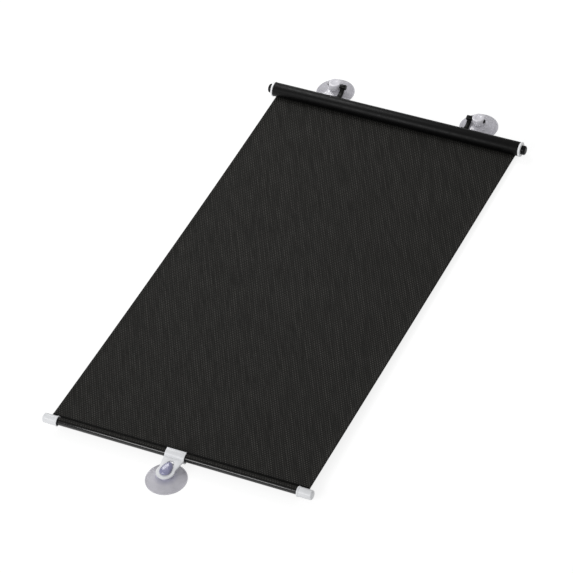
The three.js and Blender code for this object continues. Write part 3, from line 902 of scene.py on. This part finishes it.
def hem_outline():
    """From the weld over the bar's top, in through the slot and round the welt rod."""
    half = HEM_THICKNESS / 2
    film = HEM_FILM / 2
    turn_in = half_angle(film, WRAP_INNER)
    rise = [(HEM_REACH, half), (8.0, half + 0.05)]
    rise += quadratic((7.0, half + 0.1), (5.9, half + 0.3), polar(WRAP_OUTER, 20), 8)
    over = arc(WRAP_OUTER, 22, BAR_SLOT_AT, 80)
    bend = [
        polar(WRAP_OUTER - 0.08, BAR_SLOT_AT + turn_in * 0.6),
        polar(WRAP_OUTER - 0.3, BAR_SLOT_AT + turn_in * 0.95),
        polar(WRAP_INNER - 0.1, BAR_SLOT_AT + turn_in),
    ]
    loop_mouth = half_angle(film, LOOP_OUTER)
    loop = arc(LOOP_OUTER, BAR_SLOT_AT + loop_mouth, BAR_SLOT_AT + 360 - loop_mouth, 48)
    under = arc(WRAP_INNER, BAR_SLOT_AT - turn_in, 4, 80)
    tail = [(WRAP_INNER + 0.05, -half * 0.6), (WRAP_INNER + 0.4, -half), (HEM_REACH, -half)]
    return rise + over + bend + loop + under + tail


WELD_WIDTH = 3.4
WELD_RISE = 0.22


class SUNSHADE_OT_hem(bpy.types.Operator):
    """Builds the cloth's hem over the bar, with its dark welded strip, which also paints the shade in the
    crease behind the bar
    """

    bl_idname = "sunshade.hem"
    bl_label = "Hem"

    def execute(self, context):
        reach = CLOTH_WIDTH / 2
        hole = arc(LOOP_INNER, 0, 352, 44)
        hem = prism("cloth_hem", [hem_outline(), hole], -reach, reach, centre=BAR_CENTRE)
        finished(hem, finish_named("cloth"), "bar", ["fabric_hem"], angle=50)
        # The dark strip is the hem's weld and also painted shade in the crease behind the bar
        low = HEM_THICKNESS / 2
        start, end = HEM_REACH - WELD_WIDTH, HEM_REACH - 0.1
        strip = [(start, low), (end, low), (end, low + WELD_RISE), (start, low + WELD_RISE)]
        weld = softened(prism("hem_weld_and_shade", [strip], -reach, reach, centre=BAR_CENTRE), 0.09)
        finished(weld, finish_named("selvedge"), "bar")
        return {"FINISHED"}


CAP_RADIUS = 6.4
CAP_LENGTH = 20.5
CAP_END = 2.0
CAP_RIM = 0.45
CAP_SLOT = HEM_THICKNESS + 3 * GAP


def bar_cap():
    """The white cap on the bar's right end, slotted for the cloth."""
    outer = CAP_RADIUS
    seat = BAR_LENGTH / 2 + GAP
    face = seat + CAP_END
    mouth = face - CAP_LENGTH
    rim = outer + CAP_RIM
    profile = [
        (0, seat), (BAR_SEAT, seat), (BAR_SEAT, mouth), (rim - 0.2, mouth), (rim, mouth + 0.2),
        (rim, mouth + 2.2), (rim - 0.1, mouth + 2.4), (outer, mouth + 2.8), (outer, face - 2.2),
        (outer - 0.15, face - 1.4), (outer - 0.6, face - 0.7), (outer - 1.3, face - 0.2),
        (outer - 2.2, face), (0, face),
    ]
    cap = turned("bar_cap_right", profile, centre=BAR_CENTRE)
    half, past_rim = CAP_SLOT / 2, rim + 2.0
    slot_outline = [(0.0, -half), (past_rim, -half), (past_rim, half), (0.0, half)]
    slot = prism("cap_slot", [slot_outline], mouth - 1.0, CLOTH_WIDTH / 2 + GAP, centre=BAR_CENTRE)
    return combined(cap, [slot], "DIFFERENCE")


class SUNSHADE_OT_caps(bpy.types.Operator):
    """Builds the white caps on the bar's ends"""

    bl_idname = "sunshade.caps"
    bl_label = "Bar caps"

    def execute(self, context):
        right = bar_cap()
        left = mirrored_copy(right, "cap_left")
        right.name = "cap_right"
        for piece, node in ((right, "bar_cap_right"), (left, "bar_cap_left")):
            finished(piece, finish_named("white"), "bar", [node])
        return {"FINISHED"}


# Clip with its keyhole

CLIP_WIDTH = solid_box("bar_clip")[0][0]
CLIP_THICKNESS = 1.8
JAW_BACK = 79
JAW_END = 292
PLATE_BOTTOM = 0.5
PLATE_THICKNESS = 2.0
RING_RADIUS = 12.0
RING_DEGREES = 20

# Rise above the jaw's outside, and angle, of each point of its lip
JAW_LIP = ((0.8, 64), (0.9, 68), (0.8, 73))

# Distance from the bar's axis, and radius, of the keyhole's wide and narrow rounds
KEY_WIDE = (BAR_Y - BOTTOM_CUP_MIDDLE[1], 6.6)
KEY_NARROW = (16.8, 4.9)


def clip():
    """The jaw over the bar and the keyhole plate, as one moulding."""
    inner = BAR_SEAT
    outer = inner + CLIP_THICKNESS
    half = CLIP_WIDTH / 2
    jaw_loop = [polar(outer + rise, degrees) for rise, degrees in JAW_LIP]
    jaw_loop += arc(outer, JAW_BACK, JAW_END, 80) + arc(inner, JAW_END, JAW_LIP[0][1], 80)
    jaw = prism("clip_jaw", [jaw_loop], -half, half, centre=BAR_CENTRE)
    root = -inner - CLIP_THICKNESS / 2
    (wide_reach, wide_r), (narrow_reach, narrow_r) = KEY_WIDE, KEY_NARROW
    wide_y, narrow_y = -wide_reach, -narrow_reach
    ring_start = polar_from((0.0, wide_y), RING_RADIUS, RING_DEGREES + 4)
    right_edge = [(half, root)] + quadratic((half, root - 2.2), (half - 1, root - 8), ring_start, 14)
    bow = arc(RING_RADIUS, RING_DEGREES, -180 - RING_DEGREES, 70, (0.0, wide_y))
    left_edge = [(-x, y) for x, y in reversed(right_edge)]
    outline = right_edge + bow + left_edge
    spread = math.degrees(math.asin(narrow_r / wide_r))
    keyhole = arc(wide_r, 90 + spread, 450 - spread, 60, (0.0, wide_y))
    keyhole += arc(narrow_r, 0, 180, 30, (0.0, narrow_y))
    plate = prism(
        "clip_plate", [outline, keyhole], PLATE_BOTTOM, PLATE_BOTTOM + PLATE_THICKNESS,
        axis="Z", centre=BAR_CENTRE,
    )
    return cleaned(softened(combined(jaw, [plate], "UNION"), 0.4, 3))


class SUNSHADE_OT_clip(bpy.types.Operator):
    """Builds the white clip with the keyhole for the bottom cup"""

    bl_idname = "sunshade.clip"
    bl_label = "Clip"

    def execute(self, context):
        piece = clip()
        finished(piece, finish_named("white"), "clip", ["bar_clip"])
        return {"FINISHED"}


# Suction cups

CUP_RADIUS = CUP_SIZE[0] / 2
CUP_SEGMENTS = 112
SKIRT_TOP = 6.4
KNOB_FOOT = 6.7
KNOB_TOP = CUP_SIZE[2]
DIMPLE_RADIUS = 3.6
DIMPLE_DEPTH = 0.7


def smooth_profile(points, steps=4):
    """Rounds a profile by passing a smooth curve through its points."""
    made = []
    last = len(points) - 1
    for i in range(last):
        around = [points[max(0, min(last, i + k))] for k in (-1, 0, 1, 2)]
        for step in range(steps):
            t = step / steps
            weights = (
                -0.5 * t + t * t - 0.5 * t ** 3,
                1 - 2.5 * t * t + 1.5 * t ** 3,
                0.5 * t + 2 * t * t - 1.5 * t ** 3,
                -0.5 * t * t + 0.5 * t ** 3,
            )
            made.append(tuple(sum(w * p[k] for w, p in zip(weights, around)) for k in range(2)))
    made.append(points[-1])
    return made


def skirt():
    """The cup's hollow underside and the outside of its thin skirt."""
    r = CUP_RADIUS
    under = smooth_profile([
        (0.0, 3.4), (r * 0.32, 3.2), (r * 0.56, 2.5), (r * 0.78, 1.35), (r * 0.93, 0.4), (r * 0.97, 0.0),
    ])
    over = smooth_profile([
        (r * 0.985, 1.0), (r * 0.9, 1.55), (r * 0.75, 3.2), (r * 0.55, 5.0), (r * 0.4, 6.1),
    ])
    return under + [(r - 0.1, 0.0), (r, 0.15), (r, 0.6), (r - 0.1, 0.85)] + over


def milky_above(cup, height, finish):
    """Gives the thick part of a cup its own finish."""
    cup.data.materials.append(finish)
    for face in cup.data.polygons:
        if face.center.z > height * MM:
            face.material_index = 1


def top_cup(name, x):
    """A cup with a stout knob, bored across for the hook's pin."""
    r, foot, top = TOP_KNOB_RADIUS, KNOB_FOOT, KNOB_TOP
    waist = [
        (r - 1.6, foot), (r - 1.8, foot + 0.3), (r - 1.5, foot + 0.7),
        (r - 0.7, foot + 1.1), (r - 0.2, foot + 1.4), (r, foot + 1.9),
    ]
    crown = [(r, top - 1.1), (r - 0.1, top - 0.6), (r - 0.4, top - 0.2), (r - 0.9, top)]
    dimple = [
        (DIMPLE_RADIUS + 1.0, top), (DIMPLE_RADIUS + 0.6, top - 0.1), (DIMPLE_RADIUS, top - 0.6),
        (DIMPLE_RADIUS - 0.6, top - DIMPLE_DEPTH), (0.0, top - DIMPLE_DEPTH),
    ]
    cup = turned(name, skirt() + waist + crown + dimple, "Z", (x, PIN_Y, 0.0), CUP_SEGMENTS)
    bore_radius = PIN_RADIUS + GAP
    bore_profile = [(0, -r - 1), (bore_radius, -r - 1), (bore_radius, r + 1), (0, r + 1)]
    bore = turned("cup_bore", bore_profile, "X", (x, PIN_Y, PIN_Z), 48)
    return combined(cup, [bore], "DIFFERENCE")


class SUNSHADE_OT_top_cups(bpy.types.Operator):
    """Builds the two cups that hang on the hooks"""

    bl_idname = "sunshade.top_cups"
    bl_label = "Top cups"

    def execute(self, context):
        for side, x in (("left", -TOP_CUP_X), ("right", TOP_CUP_X)):
            cup = top_cup(f"cup_{side}_vinyl", x)
            nodes = [f"suction_cup_{side}"]
            finished(cup, finish_named("top_vinyl"), f"cup_{side}", nodes, angle=40)
            milky_above(cup, SKIRT_TOP, finish_named("top_knob"))
        return {"FINISHED"}


NECK_RADIUS = 4.6
HEAD_RADIUS = 7.4
HEAD_HEIGHT = 3.6
HEAD_STRETCH = 2.1


def head_outline(underside):
    """The rounded head, from its underside to its top."""
    r, top = HEAD_RADIUS, underside + HEAD_HEIGHT
    return [
        (r - 0.4, underside), (r - 0.1, underside + 0.25), (r, underside + 0.7),
        (r - 0.15, underside + 1.4), (r - 0.6, top - 1.5), (r - 1.4, top - 0.8),
        (r - 2.6, top - 0.3), (r - 5.0, top - 0.05), (0.0, top),
    ]


def draw_head_out(cup, centre_y, underside):
    """Draws half of the head out towards the bar, so that it covers the keyhole."""
    for vert in cup.data.vertices:
        x, y, z = vert.co / MM
        on_neck = z < underside + GAP / 2 and math.hypot(x, y - centre_y) < NECK_RADIUS + GAP
        if z > underside - 0.01 and y > centre_y and not on_neck:
            vert.co.y = (centre_y + (y - centre_y) * HEAD_STRETCH) * MM


def bottom_cup():
    """A cup with a neck for the keyhole and a head above the clip's plate."""
    shoulder = AXIS_Z + PLATE_BOTTOM - GAP
    underside = AXIS_Z + PLATE_BOTTOM + PLATE_THICKNESS + GAP
    neck = [
        (8.6, 6.6), (7.7, 7.1), (7.2, 7.9), (7.2, shoulder - 0.2), (7.0, shoulder),
        (NECK_RADIUS, shoulder), (NECK_RADIUS, underside),
    ]
    centre = (0.0, BOTTOM_CUP_MIDDLE[1], 0.0)
    cup = turned("cup_bottom_vinyl", skirt() + neck + head_outline(underside), "Z", centre, CUP_SEGMENTS)
    draw_head_out(cup, centre[1], underside)
    return cup


class SUNSHADE_OT_bottom_cup(bpy.types.Operator):
    """Builds the cup whose neck sits in the clip's keyhole"""

    bl_idname = "sunshade.bottom_cup"
    bl_label = "Bottom cup"

    def execute(self, context):
        cup = bottom_cup()
        nodes = ["suction_cup_bottom"]
        finished(cup, finish_named("bottom_vinyl"), "cup_bottom", nodes, angle=40)
        milky_above(cup, SKIRT_TOP, finish_named("bottom_head"))
        return {"FINISHED"}


# Floor, light and camera

CLOTH_METRES = CLOTH_WIDTH * MM
FLOOR_REACH = 9000.0
WORLD_LIGHT = 0.43
CAMERA_AZIMUTH = 29.0
CAMERA_ELEVATION = 43.39
CAMERA_ROLL = -5.83
CAMERA_DISTANCE = 12.41
CAMERA_OFFSET = (0.018, 0.027)
FOCAL_PIXELS = 3401.0
IMAGE_PIXELS = 573.0
SENSOR_MM = 36.0


def place_camera():
    """Puts the camera where the photograph was taken from."""
    azimuth, elevation, roll = map(math.radians, (CAMERA_AZIMUTH, CAMERA_ELEVATION, CAMERA_ROLL))
    back = Vector((
        math.sin(azimuth) * math.cos(elevation),
        -math.cos(azimuth) * math.cos(elevation),
        math.sin(elevation),
    ))
    level = (-back).cross(Vector((0, 0, 1))).normalized()
    rise = level.cross(-back)
    right = level * math.cos(roll) + rise * math.sin(roll)
    up = rise * math.cos(roll) - level * math.sin(roll)
    target = Vector((0, (ROLLER_Y + BAR_Y) / 2 * MM, AXIS_Z * MM))
    shift = right * -CAMERA_OFFSET[0] + up * -CAMERA_OFFSET[1] + back * CAMERA_DISTANCE
    data = bpy.data.cameras.new("camera")
    data.sensor_width = SENSOR_MM
    data.lens = FOCAL_PIXELS / IMAGE_PIXELS * SENSOR_MM
    data.clip_start = 0.1
    data.clip_end = 50.0
    camera = bpy.data.objects.new("camera", data)
    camera.matrix_world = Matrix.Translation(target + shift * CLOTH_METRES) @ Matrix(
        (right, up, back)).transposed().to_4x4()
    bpy.context.scene.collection.objects.link(camera)
    bpy.context.scene.camera = camera


# Name, place, what it points at, width, height and power of each lamp, in metres and watts
LAMPS = (
    ("front_softbox", (-1.45, -3.82, 2.36), (-0.1, -0.34, 0.0), 3.4, 1.35, 100.0),
    ("back_softbox", (-0.75, 0.75, 1.0), (-0.2, 0.3, 0.0), 0.6, 0.6, 7.0),
)


def soft_light(name, place, aim, width, height, power):
    """A large flat lamp that points at a place."""
    data = bpy.data.lights.new(name, "AREA")
    data.shape = "RECTANGLE"
    data.size = width
    data.size_y = height
    data.energy = power
    lamp = bpy.data.objects.new(name, data)
    lamp.location = place
    lamp.rotation_euler = (Vector(aim) - Vector(place)).to_track_quat("-Z", "Y").to_euler()
    bpy.context.scene.collection.objects.link(lamp)


def pale_world():
    """Even light from all round, seen as white."""
    world = bpy.data.worlds.new("studio")
    bpy.context.scene.world = world
    world.use_nodes = True
    tree = world.node_tree
    background = tree.nodes["Background"]
    background.inputs["Color"].default_value = (1.0, 1.0, 1.0, 1.0)
    path = tree.nodes.new("ShaderNodeLightPath")
    pick = tree.nodes.new("ShaderNodeMapRange")
    pick.inputs["To Min"].default_value = WORLD_LIGHT
    pick.inputs["To Max"].default_value = 1.0
    tree.links.new(path.outputs["Is Camera Ray"], pick.inputs["Value"])
    tree.links.new(pick.outputs["Result"], background.inputs["Strength"])


class SUNSHADE_OT_stage(bpy.types.Operator):
    """Sets the floor, the lights and the camera"""

    bl_idname = "sunshade.stage"
    bl_label = "Stage"

    def execute(self, context):
        bm = bmesh.new()
        bmesh.ops.create_grid(bm, x_segments=4, y_segments=4, size=FLOOR_REACH)
        floor = object_from("floor", bm)
        floor.data.materials.append(floor_paint("pale_floor", colours().floor[:]))
        pale_world()
        for lamp in LAMPS:
            soft_light(*lamp)
        place_camera()
        bpy.context.scene.view_settings.view_transform = "Standard"
        return {"FINISHED"}


# Panel and registration

STEPS = (
    SUNSHADE_OT_housing,
    SUNSHADE_OT_ends,
    SUNSHADE_OT_roller,
    SUNSHADE_OT_hooks,
    SUNSHADE_OT_bar,
    SUNSHADE_OT_hem,
    SUNSHADE_OT_cloth,
    SUNSHADE_OT_caps,
    SUNSHADE_OT_clip,
    SUNSHADE_OT_top_cups,
    SUNSHADE_OT_bottom_cup,
    SUNSHADE_OT_stage,
)


class SUNSHADE_PT_panel(bpy.types.Panel):
    """The sunshade's settings and building steps"""

    bl_label = "Roller Sunshade"
    bl_idname = "SUNSHADE_PT_panel"
    bl_space_type = "VIEW_3D"
    bl_region_type = "UI"
    bl_category = "Sunshade"

    def draw(self, context):
        column = self.layout.column()
        for settings in (context.scene.sunshade_sizes, context.scene.sunshade_colours):
            for name in settings.__annotations__:
                column.prop(settings, name)
        for step in STEPS:
            column.operator(step.bl_idname)


CLASSES = (SunshadeColours, SunshadeSizes, *STEPS, SUNSHADE_PT_panel)


def register():
    for cls in CLASSES:
        bpy.utils.register_class(cls)
    bpy.types.Scene.sunshade_colours = PointerProperty(type=SunshadeColours)
    bpy.types.Scene.sunshade_sizes = PointerProperty(type=SunshadeSizes)


def unregister():
    del bpy.types.Scene.sunshade_sizes
    del bpy.types.Scene.sunshade_colours
    for cls in reversed(CLASSES):
        bpy.utils.unregister_class(cls)


def main():
    register()
    for step in STEPS:
        group, name = step.bl_idname.split(".")
        getattr(getattr(bpy.ops, group), name)()


if __name__ == "__main__":
    main()
